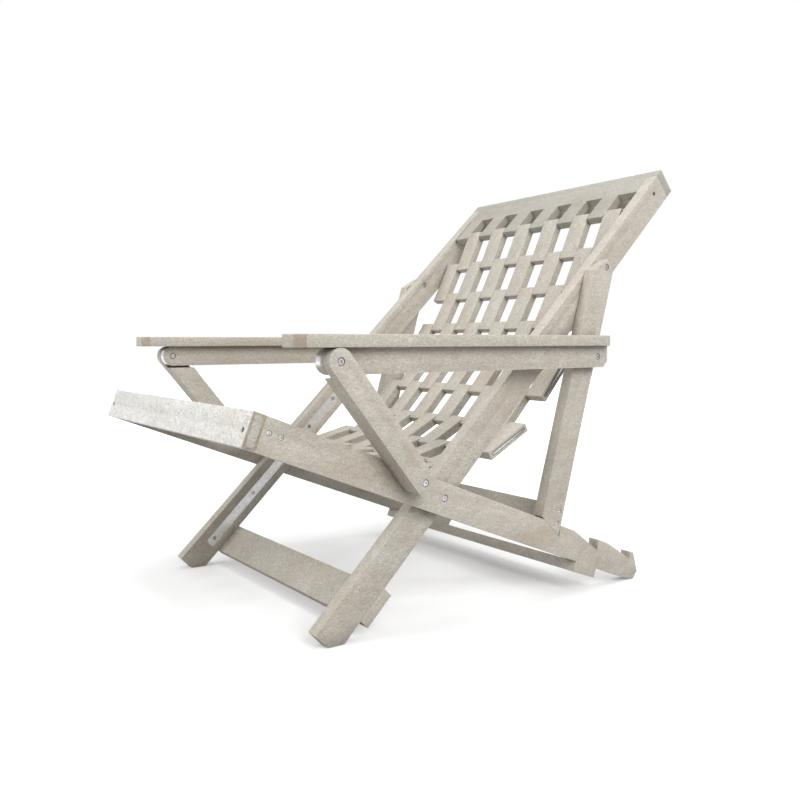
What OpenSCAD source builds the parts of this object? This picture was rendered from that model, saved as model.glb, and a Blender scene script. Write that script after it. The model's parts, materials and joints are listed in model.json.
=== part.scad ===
// Folding lounge chair of square-edged planks, with a sling of hinged links for a seat.
// Millimetres, +Z up. The front faces -Y and the width runs along X.
// The origin is on the ground under the middle of the chair. "left" is the +X side.

/* [Planks] */
// thickness of the thick frame planks
plank_t = 25; // [23:0.5:27]
// width of the thick frame planks
plank_w = 60; // [57:0.5:63]
// thickness of the thin boards used for slats, arms and links
board_t = 21.5; // [19:0.5:22]
// gap between planks that move past each other
layer_gap = 1.5; // [1:0.1:2]

/* [Base] */
// width across the outer faces of the base rails
frame_w = 680; // [620:1:740]
// angle between the base rails and the ground, in degrees
rail_tilt = 20.4; // [19.9:0.1:20.9]
// length of a base rail
rail_l = 1022; // [1016:1:1030]
// width of the front slat
front_slat_w = 48; // [40:1:54]
// width of the rear slat
rear_slat_w = 72; // [50:1:90]
// distance from the rail's front end to the rear slat
rear_slat_s = 805; // [780:1:815]
// depth of the first recline notch
notch_depth = 23.6; // [20:0.1:25]

/* [Back] */
// angle between the back planks and the ground, in degrees
back_tilt = 45; // [44.5:0.1:45.5]
// distance along the rail from its front end to the main pivot
fold_pivot_s = 398.5; // [396:0.5:401]
// length of the back above the main pivot, without its cap
back_l = 937; // [925:1:950]
// length of the leg below the main pivot
leg_l = 334; // [330:1:336]
// thickness of the head cap
cap_t = 23; // [18:0.5:26]
// width of the head slat
head_slat_w = 53; // [48:1:58]
// width of the foot cross board
foot_board_w = 71; // [60:1:76]
// distance along the back from the main pivot to the prop's pivot
prop_pivot_a = 634.8; // [632:0.2:637]

/* [Arms and links] */
// distance between the two pivots of a link
link_l = 273.2; // [272:0.2:274]
// distance along the prop from its upper pivot to the arm
arm_pivot_d = 197; // [195:0.5:199]
// length of an arm board
arm_l = 756; // [730:1:770]
// width of an arm board
arm_w = 68; // [60:0.5:69]
// how far the arm board reaches in front of its front pivot
arm_nose = 76; // [60:1:85]
// width of the steel band round the arm rail's nose
band_w = 15; // [10:0.5:18]
// thickness of the steel band
band_t = 1.5; // [1:0.1:2]

/* [Sling] */
// thickness of a sling link
sling_t = 18.5; // [17:0.5:20]
// gap between neighbouring columns of links
column_gap = 1; // [0.6:0.1:2]
// diameter of the rods
rod_d = 5; // [4:0.1:5.5]
// distance from the rail's front end to the foremost rod
front_rod_s = 87.7; // [87.5:0.1:88.5]

/* [Hardware] */
// diameter of the pivot bolts' shanks
bolt_d = 8; // [6:0.5:9]
// diameter of the bolt heads
head_d = 11; // [9:0.5:12]
// diameter of the round recesses that the bolt heads sit in
recess_d = 14; // [13:0.5:15]
// diameter of the screw heads
screw_head_d = 8; // [7:0.5:9]
// diameter of the holes that the screw heads sit in
screw_hole_d = 9.6; // [9.6:0.1:11]
// how far the heads sit below the planks' faces
head_sink = 1.2; // [0.6:0.1:2]
// diameter of the screws' shanks
screw_d = 5; // [4:0.5:6]
// width of the steel flat bars in the legs
bar_w = 25; // [20:0.5:28]
// thickness of the steel flat bars
bar_t = 4; // [3:0.5:6]
// how far the flat bars lie below the legs' inner faces
bar_sink = 4; // [2:0.5:5]

/* [Hidden] */
$fn = 48;
fit = 0.05;
head_gap = 0.3;
head_h = 3;
socket_depth = 2;
socket_af = 5.6;
cut = 1;
far = 3000;

// positions across the width, from the middle outwards
rail_out = frame_w / 2;
rail_in = rail_out - plank_t;
leg_out = rail_in - layer_gap;
leg_in = leg_out - plank_t;
arm_in = rail_out + layer_gap;
arm_out = arm_in + board_t;
link_split = arm_out + 1;
link_out = link_split + board_t;
board_in = rail_in;
board_out = board_in + arm_w;
prop_board_half = rail_in - 0.5;
sling_half = leg_in - 6.5;
columns = 12;
column_pitch = 2 * sling_half / columns;
link_w = column_pitch - column_gap;

// heights across the planks, measured from each frame's own line
rail_foot_s = rail_l - 8;
rail_foot_h = plank_w - 3;
foot_flat = 1.5;
front_t = plank_t;
fold_pivot_h = 28;
link_pivot_s = 306.9;
link_pivot_h = 17.7;
back_top_b = -plank_w / 2 - 1;
back_low_b = back_top_b + plank_w;
arm_half = 22.5;
link_half = 22;

// where the rails, the main pivot and the ground meet
rail_z = rail_foot_s * sin(rail_tilt) + rail_foot_h * cos(rail_tilt) - foot_flat;
front_reach = -front_t * cos(rail_tilt) - plank_w * sin(rail_tilt);
head_reach = fold_pivot_s * cos(rail_tilt) - fold_pivot_h * sin(rail_tilt)
    + (back_l + cap_t) * cos(back_tilt) + back_low_b * sin(back_tilt);
rail_y = -(front_reach + head_reach) / 2;

// a point in the side view, [along Y, up Z], from a frame's own numbers
function on_rail(s, h) = [
    rail_y + s * cos(rail_tilt) - h * sin(rail_tilt),
    rail_z - s * sin(rail_tilt) - h * cos(rail_tilt)
];
fold_pivot = on_rail(fold_pivot_s, fold_pivot_h);
function on_back(a, b) = [
    fold_pivot[0] + a * cos(back_tilt) + b * sin(back_tilt),
    fold_pivot[1] + a * sin(back_tilt) - b * cos(back_tilt)
];
function heading(v) = atan2(v[1], v[0]);
function along(angle) = [cos(angle), sin(angle)];
function meet(p, p_reach, q, q_reach) =
    let (gap = norm(q - p))
    let (run = (p_reach * p_reach - q_reach * q_reach + gap * gap) / (2 * gap))
    let (rise = sqrt(max(0, p_reach * p_reach - run * run)))
    p + run * along(heading(q - p)) + rise * along(heading(q - p) + 90);

// the prop's foot stands in the first notch, and its length follows from that
notch_s = rail_l - 348;
notch_l = 58;
prop_pivot_b = -11.6;
prop_rear = 21.6;
prop_pivot = on_back(prop_pivot_a, prop_pivot_b);
ramp_angle = atan2(notch_depth, notch_l);
toe_inset = 3.2;
toe = on_rail(notch_s + notch_l - toe_inset, notch_depth * (notch_l - toe_inset) / notch_l - 0.5);
toe_reach = norm(toe - prop_pivot);
prop_l = sqrt(toe_reach * toe_reach - prop_rear * prop_rear);
prop_angle = heading(toe - prop_pivot) - atan2(prop_rear, prop_l);
toe_rise = plank_w * tan(prop_angle + 90 + ramp_angle + rail_tilt);
arm_pivot_p = 2;

// the arm's length is what lets the folded chair lie straight
link_pivot = on_rail(link_pivot_s, link_pivot_h);
arm_back = prop_pivot + arm_pivot_d * along(prop_angle) + arm_pivot_p * along(prop_angle + 90);
flat_arm_s = fold_pivot_s + prop_pivot_a + arm_pivot_d;
flat_arm_h = fold_pivot_h + prop_pivot_b - arm_pivot_p;
arm_span = norm([flat_arm_s - link_pivot_s, flat_arm_h - link_pivot_h]) - link_l;
arm_front = meet(link_pivot, link_l, arm_back, arm_span);
arm_angle = heading(arm_back - arm_front);
link_angle = heading(arm_front - link_pivot);

// the sling's rods from the head to the front, and each row's slope
row_slopes = [68.3, 66.3, 64, 60.3, 51.6, 49.6, 30.8, 16.7, 1, -10, -15.5, -18.8];
rows = 12;
open_rod = 6;
head_rod_a = back_l - 121;
head_rod_b = back_top_b + sling_t / 2;
head_rod_at = on_back(head_rod_a, head_rod_b);
front_rod_at = on_rail(front_rod_s, sling_t / 2);
function unit_chain(i) = i == 0 ? [0, 0] : unit_chain(i - 1) - along(row_slopes[i - 1]);
function turned(v, angle) = [
    v[0] * cos(angle) - v[1] * sin(angle),
    v[0] * sin(angle) + v[1] * cos(angle)
];
sling_chord = front_rod_at - head_rod_at;
row_pitch = norm(sling_chord) / norm(unit_chain(rows));
sling_turn = heading(sling_chord) - heading(unit_chain(rows));
function rod_at(i) = head_rod_at + row_pitch * turned(unit_chain(i), sling_turn);
rod_half = sling_half - 0.5;
strip_w = 5;
strip_t = 3;
link_over = 10.6;
link_corner = 2;
slot_w = 8;

module at(p) {
    translate([0, p[0], p[1]]) children();
}

module on_rail_line() {
    at(on_rail(0, 0)) rotate([-rail_tilt, 0, 0]) children();
}

module on_back_line() {
    at(fold_pivot) rotate([back_tilt, 0, 0]) children();
}

module on_prop_line() {
    at(prop_pivot) rotate([prop_angle, 0, 0]) children();
}

module on_arm_line() {
    at(arm_front) rotate([arm_angle, 0, 0]) children();
}

module on_link_line() {
    at(link_pivot) rotate([link_angle, 0, 0]) children();
}

module on_row_line(i) {
    at(rod_at(i - 1)) rotate([heading(rod_at(i) - rod_at(i - 1)), 0, 0]) children();
}

// sides: +1 is left, -1 is right
module side(s) {
    mirror([s < 0 ? 1 : 0, 0, 0]) children();
}

module both_sides() {
    side(1) children();
    side(-1) children();
}

// a board whose outline is drawn in the side view, from x0 to x1
module slab(x0, x1) {
    translate([x0, 0, 0]) rotate([90, 0, 90]) linear_extrude(x1 - x0) children();
}

// a strip from x0 to x1 in the side view, its four corners rounded
module eased_strip(x0, x1, width, corner) {
    for (x = [x0 + corner, x1 - corner], y = [corner - width / 2, width / 2 - corner])
        translate([x, y]) circle(r = corner);
    translate([x0 + corner, -width / 2]) square([x1 - x0 - 2 * corner, width]);
    translate([x0, corner - width / 2]) square([x1 - x0, width - 2 * corner]);
}

// a block from low corner to high corner
module block(low, high) {
    translate(low) cube(high - low);
}

module drill(x0, x1, d) {
    translate([x0, 0, 0]) rotate([0, 90, 0]) cylinder(h = x1 - x0, d = d);
}

module above_ground() {
    difference() {
        children();
        translate([-far, -far, -far]) cube([2 * far, 2 * far, far]);
    }
}

// a screw standing on -Z, its head sunk below z = 0
module screw(length, sink = head_sink) {
    difference() {
        union() {
            translate([0, 0, -sink - head_h]) cylinder(h = head_h, d = screw_head_d);
            translate([0, 0, -length]) cylinder(h = length - sink - head_h + cut, d = screw_d);
        }
        translate([0, 0, -sink - socket_depth]) cylinder(h = socket_depth + cut, d = socket_af, $fn = 6);
    }
}

module screw_bore(length, sink = head_sink) {
    translate([0, 0, -sink - head_h - fit]) cylinder(h = sink + head_h + fit + cut, d = screw_hole_d);
    translate([0, 0, -length - cut]) cylinder(h = length, d = screw_d + 2 * fit);
}

// a pivot bolt across the width, with a sunk head at its outer end and, if asked, its inner end
module bolt(x0, x1, inner_head = false) {
    difference() {
        union() {
            drill(inner_head ? x0 + head_sink : x0, x1 - head_sink, bolt_d);
            drill(x1 - head_sink - head_h, x1 - head_sink, head_d);
            if (inner_head) drill(x0 + head_sink, x0 + head_sink + head_h, head_d);
        }
        translate([x1 - head_sink - socket_depth, 0, 0])
            rotate([0, 90, 0]) cylinder(h = socket_depth + cut, d = socket_af, $fn = 6);
    }
}

module bolt_bore(x0, x1, inner_head = false) {
    drill(x0 - cut, x1 + cut, bolt_d + 2 * fit);
    drill(x1 - head_sink - head_h - head_gap, x1 + cut, recess_d);
    if (inner_head) drill(x0 - cut, x0 + head_sink + head_h + head_gap, recess_d);
}

// where the screws go
front_screw_h = 32.5;
front_screw_sink = 12;
module front_screw_places() {
    both_sides() on_rail_line()
        translate([rail_in + plank_t / 2 - 3.2, -front_t, -front_screw_h])
            rotate([90, 0, 0]) children();
}

slat_screw_drop = 24.75;
module slat_screw_places() {
    both_sides() on_rail_line() for (s = [12.4, 35.4])
        translate([rail_out, s, -slat_screw_drop]) rotate([0, 90, 0]) children();
}

module rear_slat_screw_places() {
    both_sides() on_rail_line() for (s = [0.25, 0.75])
        translate([rail_in + plank_t / 2, rear_slat_s + s * rear_slat_w, -plank_w - board_t])
            rotate([180, 0, 0]) children();
}

foot_board_a = -263;
module foot_screw_places() {
    both_sides() on_back_line() for (s = [0.25, 0.75])
        translate([leg_in + plank_t / 2, foot_board_a + s * foot_board_w, -back_low_b - board_t])
            rotate([180, 0, 0]) children();
}

module cap_screw_places() {
    both_sides() on_back_line() for (b = [0.3, 0.7])
        translate([leg_in + plank_t / 2, back_l + cap_t, -back_top_b - b * plank_w])
            rotate([-90, 0, 0]) children();
}

head_screw_sink = 8;
module head_slat_screw_places() {
    both_sides() on_back_line()
        translate([leg_out, back_l - 35, 6.7]) rotate([0, 90, 0]) children();
}

bar_low = -268;
bar_high = 225;
bar_b = 2;
module bar_screw_places() {
    both_sides() on_back_line() for (a = [208, 110, -110, -250])
        translate([leg_in + bar_sink, a, -bar_b]) rotate([0, -90, 0]) children();
}

module prop_screw_places() {
    both_sides() on_prop_line() for (d = [529, 554])
        translate([rail_out, d, prop_rear - board_t / 2]) rotate([0, 90, 0]) children();
}

// base frame

// one recline notch: a ramp down to a slightly undercut wall
module notch(start, length, depth, undercut) {
    polygon([
        [start, 0], [start + length, -depth],
        [start + length - undercut, cut], [start - cut, cut]
    ]);
}

module base_rail(s) {
    color("Tan") difference() {
        above_ground() side(s) on_rail_line() slab(rail_in, rail_out) difference() {
            polygon([
                [0, 0], [rail_l - 30, 0], [rail_l, -36],
                [rail_foot_s, -rail_foot_h], [rail_l - 50, -plank_w], [0, -plank_w]
            ]);
            notch(notch_s, notch_l, notch_depth, 5);
            notch(rail_l - 248, 91, 22, 7);
            notch(rail_l - 132, 93, 15, 3);
        }
        front_screw_places() screw_bore(front_screw_l, front_screw_sink);
        slat_screw_places() screw_bore(side_screw_l);
        rear_slat_screw_places() screw_bore(slat_screw_l);
        side(s) at(fold_pivot) bolt_bore(leg_in, rail_out);
        side(s) at(link_pivot) bolt_bore(rail_in + cut, link_out);
    }
}

module base_rail_left() {
    base_rail(1);
}

module base_rail_right() {
    base_rail(-1);
}

front_screw_l = 72;
side_screw_l = 65;
slat_screw_l = 50;

module front_board() {
    color("Tan") difference() {
        on_rail_line() block([-rail_out, -front_t, -plank_w], [rail_out, 0, 0]);
        front_screw_places() screw_bore(front_screw_l, front_screw_sink);
    }
}

module front_slat() {
    color("BurlyWood") difference() {
        on_rail_line() block([-rail_in, 0, -sling_t - board_t], [rail_in, front_slat_w, -sling_t]);
        slat_screw_places() screw_bore(side_screw_l);
    }
}

// even columns are 2, 4 ... 12, odd columns are 1, 3 ... 11, counted from the right
module columns_of(first) {
    for (k = [0 : columns / 2 - 1])
        translate([-sling_half + (2 * k + first - 1) * column_pitch + column_gap / 2, 0, 0]) children();
}

module front_comb() {
    color("BurlyWood") difference() {
        on_rail_line() union() {
            block([-rail_in, 0, -sling_t], [rail_in, front_slat_w, 0]);
            columns_of(2) {
                slab(0, link_w) translate([0, -sling_t / 2]) eased_strip(
                    front_slat_w - 2 * link_corner, front_rod_s + link_over, sling_t, link_corner
                );
            }
        }
        at(front_rod_at) drill(-far, far, rod_d + 2 * fit);
    }
}

module rear_slat() {
    color("BurlyWood") difference() {
        on_rail_line() block(
            [-rail_out, rear_slat_s, -plank_w - board_t],
            [rail_out, rear_slat_s + rear_slat_w, -plank_w]
        );
        rear_slat_screw_places() screw_bore(slat_screw_l);
    }
}

module base_screws() {
    color("Silver") {
        front_screw_places() screw(front_screw_l, front_screw_sink);
        slat_screw_places() screw(side_screw_l);
        rear_slat_screw_places() screw(slat_screw_l);
    }
}

module base_bolts() {
    color("Silver") both_sides() {
        at(fold_pivot) bolt(leg_in + head_gap, rail_out);
        at(link_pivot) bolt(rail_in + cut, link_out);
    }
}

// back frame

module leg(s) {
    color("Tan") difference() {
        above_ground() side(s) on_back_line() union() {
            block([leg_in, -leg_l, -back_low_b], [leg_out, back_l, -back_top_b]);
        }
        side(s) on_back_line() slab(leg_in - cut, leg_in + bar_sink + bar_t) bar_outline();
        side(s) at(fold_pivot) bolt_bore(leg_in, rail_out);
        foot_screw_places() screw_bore(slat_screw_l);
        cap_screw_places() screw_bore(slat_screw_l);
        head_slat_screw_places() screw_bore(slat_screw_l, head_screw_sink);
        bar_screw_places() screw_bore(bar_screw_l, bar_screw_sink);
        side(s) at(prop_pivot) drill(leg_in - cut, leg_in + head_sink + head_h + head_gap, recess_d);
        side(s) at(prop_pivot) drill(leg_in - cut, leg_out + cut, bolt_d + 2 * fit);
    }
}

bar_screw_l = 14;
bar_screw_sink = 0.3;

module bar_outline() {
    translate([0, -bar_b]) eased_strip(bar_low, bar_high, bar_w, 5);
}

module leg_left() {
    leg(1);
}

module leg_right() {
    leg(-1);
}

module foot_board() {
    color("BurlyWood") difference() {
        on_back_line() block(
            [-leg_out, foot_board_a, -back_low_b - board_t],
            [leg_out, foot_board_a + foot_board_w, -back_low_b]
        );
        foot_screw_places() screw_bore(slat_screw_l);
    }
}

module head_cap() {
    color("Tan") difference() {
        on_back_line() block([-leg_out, back_l, -back_low_b], [leg_out, back_l + cap_t, -back_top_b]);
        cap_screw_places() screw_bore(slat_screw_l);
    }
}

module head_slat() {
    color("BurlyWood") difference() {
        on_back_line() block(
            [-leg_in, back_l - head_slat_w, -back_top_b - sling_t - board_t],
            [leg_in, back_l, -back_top_b - sling_t]
        );
        head_slat_screw_places() screw_bore(slat_screw_l, head_screw_sink);
    }
}

head_comb_root = back_l - 52;
module head_comb() {
    color("BurlyWood") difference() {
        on_back_line() union() {
            block([-leg_in, head_comb_root, -back_top_b - sling_t], [leg_in, back_l, -back_top_b]);
            columns_of(1) {
                slab(0, link_w) translate([0, -head_rod_b]) eased_strip(
                    head_rod_a - link_over, head_comb_root + 2 * link_corner, sling_t, link_corner
                );
            }
        }
        at(head_rod_at) drill(-far, far, rod_d + 2 * fit);
    }
}

module leg_flat_bars() {
    color("LightSteelBlue") difference() {
        both_sides() on_back_line() slab(leg_in + bar_sink, leg_in + bar_sink + bar_t) bar_outline();
        bar_screw_places() screw_bore(bar_screw_l, bar_screw_sink);
        both_sides() at(fold_pivot) drill(leg_in - cut, leg_out, bolt_d + 2 * fit);
    }
}

module back_screws() {
    color("Silver") {
        foot_screw_places() screw(slat_screw_l);
        cap_screw_places() screw(slat_screw_l);
        head_slat_screw_places() screw(slat_screw_l, head_screw_sink);
        bar_screw_places() screw(bar_screw_l, bar_screw_sink);
        both_sides() at(prop_pivot) difference() {
            union() {
                drill(leg_in + head_sink, leg_in + head_sink + head_h, head_d);
                drill(leg_in + head_sink, leg_out - head_gap, bolt_d);
            }
            drill(leg_in, leg_in + head_sink + socket_depth, socket_af, $fn = 6);
        }
    }
}

module head_rod() {
    color("Silver") at(head_rod_at) drill(-rod_half + strip_t, rod_half - strip_t, rod_d);
}

// links

// the inner lath ends in a cut that lies along the arm rail's underside
lath_gap = 5;
arm_slant = arm_angle - link_angle - 90;
function inner_end(z) = link_l + (arm_half + lath_gap - z * sin(arm_slant)) / cos(arm_slant);

module link_inner(s) {
    color("BurlyWood") difference() {
        side(s) on_link_line() slab(arm_in, link_split) union() {
            circle(r = link_half);
            polygon([
                [0, -link_half], [inner_end(-link_half), -link_half],
                [inner_end(link_half), link_half], [0, link_half]
            ]);
        }
        side(s) at(link_pivot) bolt_bore(rail_in, link_out);
    }
}

module link_outer(s) {
    color("BurlyWood") difference() {
        side(s) on_link_line() slab(link_split, link_out) union() {
            circle(r = link_half);
            translate([link_l, 0]) circle(r = link_half);
            translate([0, -link_half]) square([link_l, 2 * link_half]);
        }
        side(s) at(link_pivot) bolt_bore(rail_in, link_out);
        side(s) at(arm_front) bolt_bore(arm_in, link_out, true);
    }
}

module link_inner_left() {
    link_inner(1);
}

module link_inner_right() {
    link_inner(-1);
}

module link_outer_left() {
    link_outer(1);
}

module link_outer_right() {
    link_outer(-1);
}

module link_bolt_left() {
    color("Silver") at(arm_front) bolt(arm_in, link_out, true);
}

module link_bolt_right() {
    color("Silver") side(-1) at(arm_front) bolt(arm_in, link_out, true);
}

// arms

arm_corner = 16;
sweep_reach = 225;
arm_end = arm_l - arm_nose;
sweep_start = arm_span - sweep_reach;

// the board is cut away inside at the rear, where the prop's top swings through
module arm_board(s) {
    color("Tan") side(s) on_arm_line() translate([0, 0, arm_half]) linear_extrude(board_t)
        polygon([
            [board_in, -arm_nose + arm_corner], [board_in + arm_corner, -arm_nose],
            [board_out - arm_corner, -arm_nose], [board_out, -arm_nose + arm_corner],
            [board_out, arm_end - arm_corner], [board_out - arm_corner, arm_end],
            [arm_in, arm_end], [arm_in, sweep_start], [board_in, sweep_start]
        ]);
}

rail_clip = 12.5;
band_leg = 34;
band_in = arm_in + 1.5;

module band_outline(r) {
    circle(r = r);
    translate([0, -r]) square([band_leg, 2 * r]);
}

module arm_rail(s) {
    color("Tan") difference() {
        side(s) on_arm_line() slab(arm_in, arm_out) union() {
            circle(r = arm_half);
            polygon([
                [0, arm_half], [0, -arm_half], [arm_end - rail_clip, -arm_half],
                [arm_end, -arm_half + rail_clip], [arm_end, arm_half]
            ]);
        }
        side(s) on_arm_line() slab(band_in - fit, band_in + band_w + fit) difference() {
            band_outline(arm_half + cut);
            band_outline(arm_half - band_t - fit);
        }
        side(s) at(arm_front) bolt_bore(arm_in, link_out, true);
        side(s) at(arm_back) bolt_bore(rail_in + 4, arm_out);
    }
}

module arm_band(s) {
    color("Silver") side(s) on_arm_line() slab(band_in, band_in + band_w) difference() {
        band_outline(arm_half);
        band_outline(arm_half - band_t);
        translate([band_leg - cut, -arm_half]) square([2 * cut, 2 * arm_half]);
    }
}

module arm_board_left() {
    arm_board(1);
}

module arm_board_right() {
    arm_board(-1);
}

module arm_rail_left() {
    arm_rail(1);
}

module arm_rail_right() {
    arm_rail(-1);
}

module arm_band_left() {
    arm_band(1);
}

module arm_band_right() {
    arm_band(-1);
}

// prop frame

module prop_post(s) {
    color("Tan") difference() {
        side(s) on_prop_line() slab(rail_in, rail_out) polygon([
            [-18, -3], [7, prop_rear], [prop_l, prop_rear],
            [prop_l - toe_rise, prop_rear - plank_w], [18, prop_rear - plank_w]
        ]);
        side(s) at(prop_pivot) bolt_bore(rail_in, rail_out);
        side(s) at(arm_back) drill(rail_in + 4, rail_out + cut, bolt_d + 2 * fit);
        prop_screw_places() screw_bore(side_screw_l);
    }
}

module prop_post_left() {
    prop_post(1);
}

module prop_post_right() {
    prop_post(-1);
}

prop_board_w = 48;
prop_board_d = 517.5;
module prop_cross_board() {
    color("BurlyWood") difference() {
        on_prop_line() block(
            [-prop_board_half, prop_board_d, prop_rear - board_t],
            [prop_board_half, prop_board_d + prop_board_w, prop_rear]
        );
        prop_screw_places() screw_bore(side_screw_l);
    }
}

module prop_screws() {
    color("Silver") prop_screw_places() screw(side_screw_l);
}

module prop_pivot_screws() {
    color("Silver") both_sides() at(prop_pivot) bolt(rail_in + head_gap, rail_out);
}

module arm_rear_bolts() {
    color("Silver") both_sides() at(arm_back) bolt(rail_in + 5, arm_out);
}

// sling rows, counted from the head

function row_first(i) = i % 2 == 1 ? 2 : 1;

module strip_outline() {
    circle(d = strip_w);
    translate([row_pitch, 0]) circle(d = strip_w);
    translate([0, -strip_w / 2]) square([row_pitch, strip_w]);
}

// even columns reach the left edge of the sling, odd columns the right edge
module on_edge(i) {
    side(i % 2 == 1 ? 1 : -1) translate([sling_half - column_gap / 2, 0, 0]) children();
}

module sling_links(i) {
    color("Tan") on_row_line(i) difference() {
        columns_of(row_first(i)) slab(0, link_w)
            eased_strip(-link_over, row_pitch + link_over, sling_t, link_corner);
        drill(-far, far, rod_d + 2 * fit);
        translate([0, row_pitch, 0]) drill(-far, far, rod_d + 2 * fit);
        on_edge(i) slab(-strip_t, cut) strip_slot();
    }
}

module strip_slot() {
    circle(d = slot_w);
    translate([row_pitch, 0]) circle(d = slot_w);
    translate([0, -slot_w / 2]) square([row_pitch, slot_w]);
}

// the rod at the open pivot stays inside its own row's links
module sling_rod(i) {
    color("Silver") on_row_line(i) {
        on_edge(i) slab(-strip_t, 0) strip_outline();
        translate([0, row_pitch, 0]) {
            if (i == open_rod) columns_of(row_first(i)) drill(strip_t, link_w - strip_t, rod_d);
            if (i != open_rod)
                side(i % 2 == 1 ? 1 : -1) drill(-rod_half + strip_t + cut, rod_half - strip_t, rod_d);
        }
    }
}

module sling_row_01() {
    sling_links(1);
}

module sling_row_02() {
    sling_links(2);
}

module sling_row_03() {
    sling_links(3);
}

module sling_row_04() {
    sling_links(4);
}

module sling_row_05() {
    sling_links(5);
}

module sling_row_06() {
    sling_links(6);
}

module sling_row_07() {
    sling_links(7);
}

module sling_row_08() {
    sling_links(8);
}

module sling_row_09() {
    sling_links(9);
}

module sling_row_10() {
    sling_links(10);
}

module sling_row_11() {
    sling_links(11);
}

module sling_row_12() {
    sling_links(12);
}

module sling_rod_01() {
    sling_rod(1);
}

module sling_rod_02() {
    sling_rod(2);
}

module sling_rod_03() {
    sling_rod(3);
}

module sling_rod_04() {
    sling_rod(4);
}

module sling_rod_05() {
    sling_rod(5);
}

module sling_rod_06() {
    sling_rod(6);
}

module sling_rod_07() {
    sling_rod(7);
}

module sling_rod_08() {
    sling_rod(8);
}

module sling_rod_09() {
    sling_rod(9);
}

module sling_rod_10() {
    sling_rod(10);
}

module sling_rod_11() {
    sling_rod(11);
}

module sling_rod_12() {
    sling_rod(12);
}

base_rail_left();
base_rail_right();
front_board();
front_slat();
front_comb();
rear_slat();
base_screws();
base_bolts();
leg_left();
leg_right();
foot_board();
head_cap();
head_slat();
head_comb();
leg_flat_bars();
back_screws();
head_rod();
link_inner_left();
link_inner_right();
link_outer_left();
link_outer_right();
link_bolt_left();
link_bolt_right();
arm_board_left();
arm_board_right();
arm_rail_left();
arm_rail_right();
arm_band_left();
arm_band_right();
prop_post_left();
prop_post_right();
prop_cross_board();
prop_screws();
prop_pivot_screws();
arm_rear_bolts();
sling_row_01();
sling_row_02();
sling_row_03();
sling_row_04();
sling_row_05();
sling_row_06();
sling_row_07();
sling_row_08();
sling_row_09();
sling_row_10();
sling_row_11();
sling_row_12();
sling_rod_01();
sling_rod_02();
sling_rod_03();
sling_rod_04();
sling_rod_05();
sling_rod_06();
sling_rod_07();
sling_rod_08();
sling_rod_09();
sling_rod_10();
sling_rod_11();
sling_rod_12();
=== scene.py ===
import json
from math import cos, radians, sin

import bpy
from mathutils import Matrix, Vector


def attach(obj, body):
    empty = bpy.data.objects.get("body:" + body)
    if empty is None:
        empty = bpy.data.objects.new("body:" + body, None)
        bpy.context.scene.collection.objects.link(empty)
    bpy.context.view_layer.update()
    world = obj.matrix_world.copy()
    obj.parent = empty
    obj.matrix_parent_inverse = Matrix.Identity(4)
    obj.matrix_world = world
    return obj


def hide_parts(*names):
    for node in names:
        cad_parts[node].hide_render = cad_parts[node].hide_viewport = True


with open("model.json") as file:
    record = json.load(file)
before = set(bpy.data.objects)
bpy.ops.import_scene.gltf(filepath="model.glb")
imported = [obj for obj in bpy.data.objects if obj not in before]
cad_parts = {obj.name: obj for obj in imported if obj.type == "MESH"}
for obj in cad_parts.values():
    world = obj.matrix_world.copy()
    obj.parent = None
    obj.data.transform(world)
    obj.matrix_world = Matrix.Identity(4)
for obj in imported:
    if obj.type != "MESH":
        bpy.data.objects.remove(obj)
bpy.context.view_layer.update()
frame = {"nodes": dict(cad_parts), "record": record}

nodes = frame["nodes"]
bodies = frame["record"]["behaviour"]["bodies"]
body_of_node = {node: body for body, members in bodies.items() for node in members}

# The camera stands low in front of the chair's left arm, as in the photograph.
camera_turn = radians(53.20)
camera_dip = radians(3.38)
camera_roll = radians(0.99)
camera_place = (1.43378, -1.07153, 0.50508)
ahead = Vector((-sin(camera_turn) * cos(camera_dip), cos(camera_turn) * cos(camera_dip), -sin(camera_dip)))
level_right = Vector((cos(camera_turn), sin(camera_turn), 0))
level_up = level_right.cross(ahead)
right = level_right * cos(camera_roll) + level_up * sin(camera_roll)
up = level_up * cos(camera_roll) - level_right * sin(camera_roll)
bpy.ops.object.camera_add(location=camera_place)
camera = bpy.context.object
camera.name = "photo_camera"
camera.data.lens = 35.25
camera.data.sensor_width = 36
camera.rotation_euler = Matrix((right, up, -ahead)).transposed().to_euler()
bpy.context.scene.camera = camera
bpy.context.scene.view_settings.view_transform = "Standard"


# Small helpers for building materials.

def add(tree, kind, x, y, **settings):
    node = tree.nodes.new(kind)
    node.location = (x, y)
    for name, value in settings.items():
        setattr(node, name, value)
    return node


def feed(tree, source, target):
    tree.links.new(source, target)


def group(name, inputs, outputs):
    tree = bpy.data.node_groups.new(name, "ShaderNodeTree")
    for label, kind, value in inputs:
        socket = tree.interface.new_socket(label, in_out="INPUT", socket_type=kind)
        socket.default_value = value
    for label, kind in outputs:
        tree.interface.new_socket(label, in_out="OUTPUT", socket_type=kind)
    start = add(tree, "NodeGroupInput", -1200, 0)
    finish = add(tree, "NodeGroupOutput", 900, 0)
    return tree, start.outputs, finish.inputs


def noise(tree, vector, x, y, scale, detail, rough, distortion=0.0):
    node = add(tree, "ShaderNodeTexNoise", x, y)
    feed(tree, vector, node.inputs["Vector"])
    node.inputs["Scale"].default_value = scale
    node.inputs["Detail"].default_value = detail
    node.inputs["Roughness"].default_value = rough
    node.inputs["Distortion"].default_value = distortion
    return node.outputs["Fac"]


def span(tree, value, x, y, low, high, to_low=0.0, to_high=1.0):
    node = add(tree, "ShaderNodeMapRange", x, y)
    feed(tree, value, node.inputs["Value"])
    node.inputs["From Min"].default_value = low
    node.inputs["From Max"].default_value = high
    node.inputs["To Min"].default_value = to_low
    node.inputs["To Max"].default_value = to_high
    return node.outputs["Result"]


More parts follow.
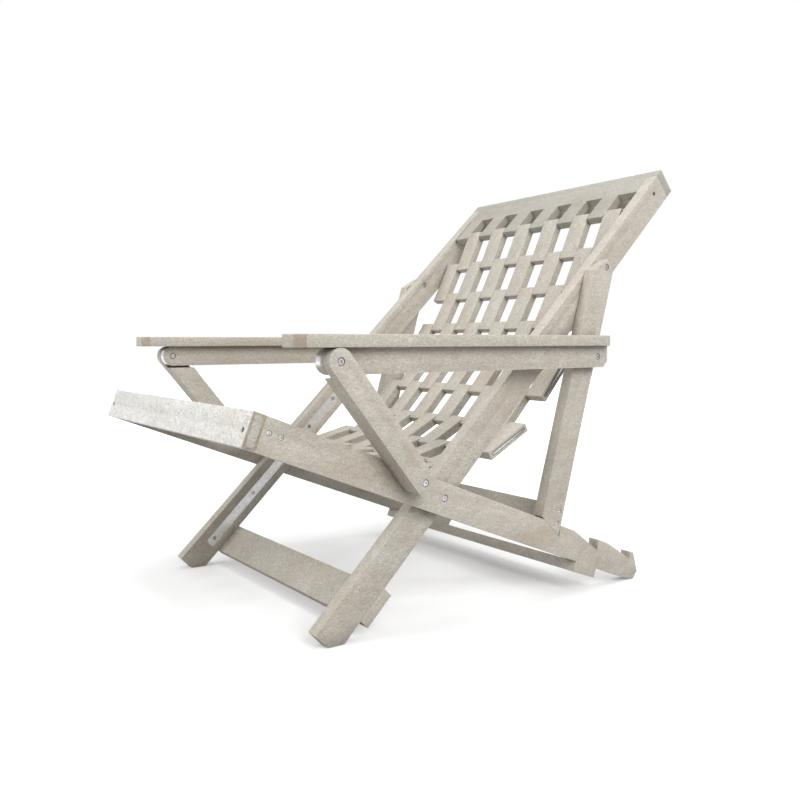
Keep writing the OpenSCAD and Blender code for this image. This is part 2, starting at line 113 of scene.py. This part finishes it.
def maths(tree, what, x, y, first, second):
    node = add(tree, "ShaderNodeMath", x, y, operation=what)
    for socket, value in zip(node.inputs, (first, second)):
        if isinstance(value, (int, float)):
            socket.default_value = value
        else:
            feed(tree, value, socket)
    return node.outputs[0]


def mix(tree, x, y, amount, first, second, blend="MIX"):
    node = add(tree, "ShaderNodeMix", x, y, data_type="RGBA", blend_type=blend)
    feed(tree, amount, node.inputs[0])
    for socket, value in ((node.inputs[6], first), (node.inputs[7], second)):
        if isinstance(value, (tuple, list)):
            socket.default_value = value
        else:
            feed(tree, value, socket)
    return node.outputs[2]


# 1 for what the camera sees straight, in a reflection or through a clear surface, 0 for bounced light
def direct_ray(tree, x, y):
    path = add(tree, "ShaderNodeLightPath", x, y)
    mirrored = maths(
        tree, "MAXIMUM", x + 200, y + 100, path.outputs["Is Camera Ray"], path.outputs["Is Glossy Ray"]
    )
    return maths(tree, "MAXIMUM", x + 350, y + 100, mirrored, path.outputs["Is Transmission Ray"])


# Recycled plastic lumber: cloudy patches, brown stains, short fibres and fine pits.
mottle, given, gives = group(
    "lumber_mottle",
    [
        ("Vector", "NodeSocketVector", (0, 0, 0)),
        ("Pale", "NodeSocketColor", (0.6, 0.55, 0.5, 1)),
        ("Mid", "NodeSocketColor", (0.5, 0.45, 0.4, 1)),
        ("Dark", "NodeSocketColor", (0.36, 0.31, 0.26, 1)),
        ("Stain", "NodeSocketColor", (0.40, 0.33, 0.26, 1)),
        ("Fibre", "NodeSocketFloat", 0.5),
    ],
    [("Color", "NodeSocketColor"), ("Height", "NodeSocketFloat"), ("Roughness", "NodeSocketFloat")],
)
clouds = noise(mottle, given["Vector"], -950, 300, 11.0, 5.0, 0.62, 0.8)
patches = noise(mottle, given["Vector"], -950, 50, 46.0, 6.0, 0.66, 1.1)
fibres = noise(mottle, given["Vector"], -950, -200, 170.0, 4.0, 0.7, 2.2)
pits = noise(mottle, given["Vector"], -950, -450, 480.0, 2.0, 0.65)
cloud_mask = span(mottle, clouds, -700, 300, 0.34, 0.66)
patch_mask = span(mottle, patches, -700, 50, 0.36, 0.66)
fibre_mask = span(mottle, fibres, -700, -200, 0.38, 0.62)
cloud_share = maths(mottle, "MULTIPLY", -480, 200, cloud_mask, 0.45)
patch_share = maths(mottle, "MULTIPLY", -480, 50, patch_mask, 0.55)
blotches = maths(mottle, "ADD", -300, 200, cloud_share, patch_share)
toned = mix(mottle, -100, 250, blotches, given["Mid"], given["Pale"])
between_fibres = maths(mottle, "SUBTRACT", -480, -150, 1.0, fibre_mask)
flecks = maths(mottle, "MULTIPLY", -300, -100, between_fibres, given["Fibre"])
speckled = mix(mottle, 150, 200, flecks, toned, given["Dark"])
stains = noise(mottle, given["Vector"], -950, 600, 4.5, 6.0, 0.68, 1.2)
stain_mask = span(mottle, stains, -100, 650, 0.53, 0.72, 0.0, 0.62)
stained = mix(mottle, 300, 300, stain_mask, speckled, given["Stain"])
grain_mask = span(mottle, pits, -100, 500, 0.50, 0.66, 0.0, 0.55)
feed(mottle, mix(mottle, 500, 300, grain_mask, stained, given["Dark"]), gives["Color"])
fibre_relief = maths(mottle, "MULTIPLY", -100, -50, fibres, 0.55)
pit_relief = maths(mottle, "MULTIPLY", -100, -250, pits, 0.3)
patch_relief = maths(mottle, "MULTIPLY", 150, -300, patches, 0.6)
relief = maths(mottle, "ADD", 150, -100, fibre_relief, pit_relief)
feed(mottle, maths(mottle, "ADD", 350, -100, relief, patch_relief), gives["Height"])
feed(mottle, span(mottle, patches, 350, -300, 0.3, 0.7, 0.62, 0.46), gives["Roughness"])

# Worn edges with painted highlight: a pale mask where the surface turns within a few millimetres, partly
# rubbed wear and partly painted light catching the rounded edge.
pale_edge_width = 0.0022
wear_and_highlight_group, given, gives = group(
    "edge_wear_and_highlight",
    [("Vector", "NodeSocketVector", (0, 0, 0)), ("Amount", "NodeSocketFloat", 0.5)],
    [("Mask", "NodeSocketFloat")],
)
rounded = add(wear_and_highlight_group, "ShaderNodeBevel", -900, 100, samples=4)
rounded.inputs["Radius"].default_value = pale_edge_width
plain = add(wear_and_highlight_group, "ShaderNodeNewGeometry", -900, -100)
agree = add(wear_and_highlight_group, "ShaderNodeVectorMath", -700, 0, operation="DOT_PRODUCT")
feed(wear_and_highlight_group, rounded.outputs["Normal"], agree.inputs[0])
feed(wear_and_highlight_group, plain.outputs["Normal"], agree.inputs[1])
turned = span(wear_and_highlight_group, agree.outputs["Value"], -500, 0, 0.995, 0.86)
ragged_noise = noise(wear_and_highlight_group, given["Vector"], -700, -300, 120.0, 3.0, 0.6)
ragged = maths(wear_and_highlight_group, "ADD", -350, -300, span(wear_and_highlight_group, ragged_noise, -500, -300, 0.4, 0.62), 0.35)
mask = maths(wear_and_highlight_group, "MULTIPLY", -250, 0, turned, ragged)
feed(wear_and_highlight_group, maths(wear_and_highlight_group, "MULTIPLY", 0, 0, mask, given["Amount"]), gives["Mask"])


# Painted shade: colour darkened where planks meet and in small corners, where ambient occlusion finds shade
# falling, broken up by noise.
corner_reach = 0.05
painted_shade_group, given, gives = group(
    "painted_corner_shade",
    [("Vector", "NodeSocketVector", (0, 0, 0)), ("Amount", "NodeSocketFloat", 0.8)],
    [("Mask", "NodeSocketFloat")],
)
hidden = add(painted_shade_group, "ShaderNodeAmbientOcclusion", -900, 100, samples=6)
hidden.inputs["Distance"].default_value = corner_reach
corner = span(painted_shade_group, hidden.outputs["AO"], -700, 100, 0.72, 0.22)
shade_noise = noise(painted_shade_group, given["Vector"], -900, -200, 60.0, 4.0, 0.65)
shade_spread = span(painted_shade_group, shade_noise, -700, -200, 0.3, 0.7, 0.55, 1.0)
corner_shade_mask = maths(painted_shade_group, "MULTIPLY", -400, 0, corner, shade_spread)
feed(painted_shade_group, maths(painted_shade_group, "MULTIPLY", -200, 0, corner_shade_mask, given["Amount"]), gives["Mask"])


# A sawn end: a brown skin round a paler core with rounded corners.
skin_inset = 0.0095
skin_start = 0.0022
skin_full = 0.0052
skin_wobble = 0.0012
sawn, given, gives = group(
    "sawn_end",
    [
        ("Vector", "NodeSocketVector", (0, 0, 0)),
        ("Centre", "NodeSocketVector", (0, 0, 0)),
        ("Tilt", "NodeSocketFloat", 0.0),
        ("Half along", "NodeSocketFloat", 0.01),
        ("Half up", "NodeSocketFloat", 0.03),
        ("End", "NodeSocketFloat", 0.34),
    ],
    [("Rim", "NodeSocketFloat"), ("Core", "NodeSocketFloat")],
)
from_centre = add(sawn, "ShaderNodeVectorMath", -1000, 100, operation="SUBTRACT")
feed(sawn, given["Vector"], from_centre.inputs[0])
feed(sawn, given["Centre"], from_centre.inputs[1])
level = add(sawn, "ShaderNodeVectorRotate", -800, 100, rotation_type="X_AXIS")
feed(sawn, from_centre.outputs[0], level.inputs["Vector"])
feed(sawn, given["Tilt"], level.inputs["Angle"])
parts = add(sawn, "ShaderNodeSeparateXYZ", -600, 100)
feed(sawn, level.outputs["Vector"], parts.inputs[0])
ripples = noise(sawn, given["Vector"], -1000, -400, 90.0, 3.0, 0.6)
wobble = span(sawn, ripples, -800, -400, 0.3, 0.7, -skin_wobble, skin_wobble)
reach = []
for axis, half in (("Y", "Half along"), ("Z", "Half up")):
    size = maths(sawn, "ABSOLUTE", -400, 100, parts.outputs[axis], 0.0)
    inner = maths(sawn, "SUBTRACT", -400, -100, given[half], skin_inset)
    past_inner = maths(sawn, "SUBTRACT", -250, 0, size, inner)
    reach.append(maths(sawn, "MAXIMUM", -100, 0, past_inner, 0.0))
squares = [maths(sawn, "MULTIPLY", 0, 0, part, part) for part in reach]
gap = maths(sawn, "SQRT", 200, 0, maths(sawn, "ADD", 100, 0, *squares), 0.0)
gap = maths(sawn, "ADD", 300, 0, gap, wobble)
from_middle = maths(sawn, "ABSOLUTE", 0, -300, parts.outputs["X"], 0.0)
at_end = maths(sawn, "GREATER_THAN", 200, -300, from_middle, given["End"])
rim = span(sawn, gap, 400, 0, skin_start, skin_full)
core = maths(sawn, "SUBTRACT", 500, -100, 1.0, rim)
feed(sawn, maths(sawn, "MULTIPLY", 600, 0, rim, at_end), gives["Rim"])
feed(sawn, maths(sawn, "MULTIPLY", 600, -200, core, at_end), gives["Core"])


def material(name):
    made = bpy.data.materials.new(name)
    made.use_nodes = True
    tree = made.node_tree
    shader = tree.nodes["Principled BSDF"]
    place = add(tree, "ShaderNodeTexCoord", -1400, 0)
    return made, tree, shader, place.outputs["Object"]


# Shades that every plank shares, and the depths of its relief: a pale tone for worn edges with painted
# highlight, a dark tone for painted shade in corners, and the darkness of painted shade in creases.
wear_and_highlight_tone = (0.66, 0.64, 0.59)
painted_shade_tone = (0.15, 0.128, 0.10)
core_tone = (0.50, 0.482, 0.43)
skin_tone = (0.37, 0.325, 0.265)
stain_tint = (0.80, 0.69, 0.58)
fibre_share = 0.54
wear_and_highlight_share = 0.55
relief_depth = 0.0012
plain_relief = 0.55
lumpy_relief = 1.0
fold_scale = 44.0
crease_width = 0.035
painted_crease_shade = 0.32


# lumps above 0 give the plank coarse folds and creases, with painted shade darkening the creases; sawn_end
# sets the sawn_end group's sizes
def lumber(name, pale, mid, dark, grain, shift=(0, 0, 0), tilt=0.0, sawn_end=None, lumps=0.0):
    made, tree, shader, place = material(name)
    lay = add(tree, "ShaderNodeMapping", -1200, 0)
    feed(tree, place, lay.inputs["Vector"])
    lay.inputs["Location"].default_value = shift
    lay.inputs["Rotation"].default_value = (radians(tilt), 0, 0)
    lay.inputs["Scale"].default_value = grain
    body = add(tree, "ShaderNodeGroup", -900, 100, node_tree=mottle)
    feed(tree, lay.outputs["Vector"], body.inputs["Vector"])
    body.inputs["Pale"].default_value = (*pale, 1)
    body.inputs["Mid"].default_value = (*mid, 1)
    body.inputs["Dark"].default_value = (*dark, 1)
    stain = [channel * tint for channel, tint in zip(mid, stain_tint)]
    body.inputs["Stain"].default_value = (*stain, 1)
    body.inputs["Fibre"].default_value = fibre_share
    edge = add(tree, "ShaderNodeGroup", -900, -200, node_tree=wear_and_highlight_group)
    feed(tree, place, edge.inputs["Vector"])
    edge.inputs["Amount"].default_value = wear_and_highlight_share
    shade = body.outputs["Color"]
    if lumps:
        folds = noise(tree, lay.outputs["Vector"], -900, -700, fold_scale, 4.0, 0.55, 2.2)
        from_half = maths(tree, "SUBTRACT", -750, -900, folds, 0.5)
        apart = maths(tree, "ABSOLUTE", -600, -900, from_half, 0.0)
        # Painted shade: thin lines along the creases between folds are darkened toward the dark tone.
        crease_shade_mask = span(tree, apart, -450, -900, 0.0, crease_width, painted_crease_shade, 0.0)
        shade = mix(tree, -450, 200, crease_shade_mask, shade, (*dark, 1))
    if sawn_end:
        cut = add(tree, "ShaderNodeGroup", -900, -450, node_tree=sawn)
        feed(tree, place, cut.inputs["Vector"])
        for label, value in sawn_end.items():
            cut.inputs[label].default_value = value
        shade = mix(tree, -650, -300, cut.outputs["Core"], shade, (*core_tone, 1))
        shade = mix(tree, -500, -300, cut.outputs["Rim"], shade, (*skin_tone, 1))
    # Wear and painted highlight: turned edges are mixed toward a pale tone, partly rubbed wear and partly
    # painted light catching the rounded edges.
    shade = mix(tree, -300, 100, edge.outputs["Mask"], shade, (*wear_and_highlight_tone, 1))
    # Painted shade: corners and joints between parts are mixed toward a dark brown tone.
    painted_shade_node = add(tree, "ShaderNodeGroup", -600, 400, node_tree=painted_shade_group)
    feed(tree, place, painted_shade_node.inputs["Vector"])
    shade = mix(tree, -150, 300, painted_shade_node.outputs["Mask"], shade, (*painted_shade_tone, 1))
    feed(tree, shade, shader.inputs["Base Color"])
    feed(tree, body.outputs["Roughness"], shader.inputs["Roughness"])
    bump = add(tree, "ShaderNodeBump", -300, -250)
    bump.inputs["Strength"].default_value = lumpy_relief if lumps else plain_relief
    bump.inputs["Distance"].default_value = relief_depth
    relief = body.outputs["Height"]
    if lumps:
        coarse = maths(tree, "MULTIPLY", -600, -700, folds, lumps)
        relief = maths(tree, "ADD", -450, -500, relief, coarse)
    feed(tree, relief, bump.inputs["Height"])
    feed(tree, bump.outputs["Normal"], shader.inputs["Normal"])
    shader.inputs["Specular IOR Level"].default_value = 0.3
    return made


# The grain is stretched along each plank, so its texture is turned by the plank's tilt in degrees.
pale = (0.64, 0.605, 0.543)
mid = (0.505, 0.467, 0.405)
dark = (0.28, 0.248, 0.20)
rail_tilt = 20.4
back_tilt = 45
prop_tilt = 75
link_tilt = 50
plank_grain = (1, 0.55, 1.2)
board_grain = (0.55, 1, 1)

rail_lumber = lumber("rail_lumber", pale, mid, dark, plank_grain, tilt=rail_tilt)
back_lumber = lumber("back_lumber", pale, mid, dark, plank_grain, shift=(0.7, 0.2, 0), tilt=-back_tilt)
prop_lumber = lumber("prop_lumber", pale, mid, dark, plank_grain, shift=(0.3, 0.9, 0), tilt=prop_tilt)
link_lumber = lumber("link_lumber", pale, mid, dark, plank_grain, shift=(0.1, 0.5, 0.4), tilt=link_tilt)
arm_lumber = lumber("arm_lumber", pale, mid, dark, (1.1, 0.5, 1.1), shift=(0.5, 0.1, 0.3))
board_lumber = lumber("board_lumber", pale, mid, dark, board_grain, shift=(0.2, 0.6, 0.8))
sling_lumber = lumber("sling_lumber", pale, mid, dark, (1.1, 0.8, 0.8), shift=(0.9, 0.4, 0.1))
cap_lumber = lumber(
    "cap_lumber", (0.47, 0.452, 0.407), (0.38, 0.36, 0.318), (0.25, 0.228, 0.187), board_grain,
)
chamfer_lumber = lumber(
    "chamfer_lumber", (0.46, 0.40, 0.33), (0.37, 0.31, 0.25), (0.26, 0.21, 0.16), (1, 1, 1),
)

# The front board's sawn ends, from its middle, its half sizes and its tilt.
front_board = nodes["front_board"]
board_corners = [front_board.matrix_world @ Vector(corner) for corner in front_board.bound_box]
board_middle = sum(board_corners, Vector()) / len(board_corners)
board_half_width = max(corner.x for corner in board_corners)
board_half_thickness = 0.0125
board_half_height = 0.030
end_skin = 0.0006
front_lumber = lumber(
    "front_lumber", (0.84, 0.835, 0.81), (0.75, 0.74, 0.71), (0.54, 0.515, 0.47), (1, 1, 1),
    shift=(0.2, 0.6, 0.8), lumps=6.0,
    sawn_end={
        "Centre": board_middle, "Tilt": radians(rail_tilt),
        "Half along": board_half_thickness, "Half up": board_half_height,
        "End": board_half_width - end_skin,
    },
)


# Steel: fine turning marks on fastenings, a cloudy zinc skin on the flat bars.

def steel(name, tone, rough, grain, cloud, amount):
    made, tree, shader, place = material(name)
    lay = add(tree, "ShaderNodeMapping", -1200, 0)
    feed(tree, place, lay.inputs["Vector"])
    lay.inputs["Scale"].default_value = grain
    marks = noise(tree, lay.outputs["Vector"], -900, -100, 900.0, 3.0, 0.6)
    skin = noise(tree, place, -900, 200, cloud, 4.0, 0.6, 0.8)
    dull = tuple(channel * (1 - amount) for channel in tone)
    shade = mix(tree, -400, 200, span(tree, skin, -650, 200, 0.35, 0.65), (*dull, 1), (*tone, 1))
    feed(tree, shade, shader.inputs["Base Color"])
    feed(tree, span(tree, skin, -650, -50, 0.3, 0.7, rough + 0.1, rough - 0.06), shader.inputs["Roughness"])
    bump = add(tree, "ShaderNodeBump", -300, -250)
    bump.inputs["Strength"].default_value = 0.12
    bump.inputs["Distance"].default_value = 0.0003
    feed(tree, marks, bump.inputs["Height"])
    feed(tree, bump.outputs["Normal"], shader.inputs["Normal"])
    shader.inputs["Metallic"].default_value = 1.0
    return made


bolt_steel = steel("bolt_steel", (0.58, 0.58, 0.59), 0.28, (1, 1, 1), 160.0, 0.45)
band_steel = steel("band_steel", (0.66, 0.66, 0.66), 0.22, (6, 1, 1), 40.0, 0.2)
zinc_bar = steel("zinc_bar", (0.80, 0.80, 0.80), 0.5, (1, 1, 1), 120.0, 0.2)


# Planks: each CAD plank is copied, merged and given eased edges.

edge_ease = 0.0012
merge_gap = 0.00002
flat_angle = radians(0.5)
sharp_angle = radians(35)
smooth_angle = radians(30)


def eased(node, finish_material):
    bpy.ops.object.select_all(action="DESELECT")
    source = nodes[node]
    plank = source.copy()
    plank.data = source.data.copy()
    # the copy drops the marks by which the frame knows its node
    for key in list(plank.keys()):
        del plank[key]
    plank.parent = None
    plank.name = "eased_" + node
    bpy.context.scene.collection.objects.link(plank)
    plank.select_set(True)
    bpy.context.view_layer.objects.active = plank
    bpy.ops.object.mode_set(mode="EDIT")
    bpy.ops.mesh.select_all(action="SELECT")
    bpy.ops.mesh.remove_doubles(threshold=merge_gap)
    bpy.ops.mesh.dissolve_limited(angle_limit=flat_angle)
    bpy.ops.object.mode_set(mode="OBJECT")
    soften = plank.modifiers.new("soften", "BEVEL")
    soften.width = edge_ease
    soften.segments = 2
    soften.limit_method = "ANGLE"
    soften.angle_limit = sharp_angle
    bpy.ops.object.modifier_apply(modifier="soften")
    bpy.ops.object.shade_smooth_by_angle(angle=smooth_angle)
    plank.data.materials.clear()
    plank.data.materials.append(finish_material)
    for face in plank.data.polygons:
        face.material_index = 0
    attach(plank, body_of_node[node])
    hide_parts(node)
    return plank


finishes = {
    "base_rail_left": rail_lumber, "base_rail_right": rail_lumber,
    "front_board": front_lumber, "front_slat": board_lumber, "rear_slat": board_lumber,
    "leg_left": back_lumber, "leg_right": back_lumber,
    "foot_board": board_lumber, "head_cap": cap_lumber, "head_slat": board_lumber,
    "link_inner_left": link_lumber, "link_inner_right": link_lumber,
    "link_outer_left": link_lumber, "link_outer_right": link_lumber,
    "arm_board_left": arm_lumber, "arm_board_right": arm_lumber,
    "arm_rail_left": arm_lumber, "arm_rail_right": arm_lumber,
    "prop_post_left": prop_lumber, "prop_post_right": prop_lumber,
    "prop_cross_board": board_lumber,
    "front_comb": sling_lumber, "head_comb": cap_lumber,
}
for node in sorted(nodes):
    if node.startswith("sling_row"):
        finishes[node] = sling_lumber

# an arm board's chamfered corners face sideways and forwards at once
chamfer_lean = 0.55
for node, finish_material in finishes.items():
    plank = eased(node, finish_material)
    if node.startswith("arm_board"):
        plank.data.materials.append(chamfer_lumber)
        for face in plank.data.polygons:
            if abs(face.normal.x) > chamfer_lean and abs(face.normal.y) > chamfer_lean:
                face.material_index = 1

# The steel pieces keep their CAD meshes.
for node, piece in nodes.items():
    if node in finishes:
        continue
    finish_material = bolt_steel
    if node == "leg_flat_bars":
        finish_material = zinc_bar
    if node.startswith("arm_band"):
        finish_material = band_steel
    piece.data.materials.clear()
    piece.data.materials.append(finish_material)


# A pale floor that stays white to the camera and keeps the chair's soft shadow.
bpy.ops.object.select_all(action="DESELECT")
floor_size = 30
floor_drop = 0.0005
lift_start = 1.3
lift_end = 3.5
lift_near = 0.19
lift_far = 0.85
seen_tone = (0.86, 0.86, 0.86, 1)
bounce_tone = (0.34, 0.34, 0.34, 1)
bpy.ops.mesh.primitive_plane_add(size=floor_size, location=(0, 0, -floor_drop))
floor = bpy.context.object
floor.name = "studio_floor"
floor_paint, tree, shader, place = material("floor_paint")
shader.inputs["Emission Color"].default_value = (1, 1, 1, 1)
away = add(tree, "ShaderNodeVectorMath", -1100, -300, operation="LENGTH")
feed(tree, place, away.inputs[0])
lift = span(tree, away.outputs["Value"], -900, -300, lift_start, lift_end, lift_near, lift_far)
direct = direct_ray(tree, -1100, -600)
feed(tree, maths(tree, "MULTIPLY", -500, -400, lift, direct), shader.inputs["Emission Strength"])
floor_tone = mix(tree, -500, 100, direct, bounce_tone, seen_tone)
feed(tree, floor_tone, shader.inputs["Base Color"])
shader.inputs["Roughness"].default_value = 0.9
shader.inputs["Specular IOR Level"].default_value = 0.1
floor.data.materials.append(floor_paint)

# White for the camera and for reflections, a weaker even glow for everything else.
glow_strength = 0.66
world = bpy.data.worlds.new("studio_world")
bpy.context.scene.world = world
world.use_nodes = True
tree = world.node_tree
tree.nodes.clear()
seen = add(tree, "ShaderNodeBackground", 0, 100)
seen.inputs["Color"].default_value = (1, 1, 1, 1)
seen.inputs["Strength"].default_value = 1.0
glow = add(tree, "ShaderNodeBackground", 0, -100)
glow.inputs["Color"].default_value = (1, 1, 1, 1)
glow.inputs["Strength"].default_value = glow_strength
direct = direct_ray(tree, -500, 0)
choose = add(tree, "ShaderNodeMixShader", 250, 0)
out = add(tree, "ShaderNodeOutputWorld", 450, 0)
feed(tree, direct, choose.inputs[0])
feed(tree, glow.outputs[0], choose.inputs[1])
feed(tree, seen.outputs[0], choose.inputs[2])
feed(tree, choose.outputs[0], out.inputs["Surface"])


def lamp(name, place, target, size, watts, tint=(1, 1, 1)):
    bpy.ops.object.light_add(type="AREA", location=place)
    made = bpy.context.object
    made.name = name
    made.data.shape = "DISK"
    made.data.size = size
    made.data.energy = watts
    made.data.color = tint
    made.rotation_euler = (Vector(target) - Vector(place)).to_track_quat("-Z", "Y").to_euler()


cool_white = (0.97, 0.985, 1.0)
lamp("front_lamp", (-0.8, -3.4, 1.3), (0, 0, 0.3), 2.4, 43, cool_white)
lamp("top_lamp", (-0.1, -0.3, 4.2), (0, 0, 0.3), 1.8, 55, cool_white)
lamp("side_lamp", (4.0, -0.8, 2.7), (0, 0, 0.4), 2.8, 134)
lamp("back_lamp", (0.6, 4.0, 2.4), (0, 0, 0.4), 3.0, 34)
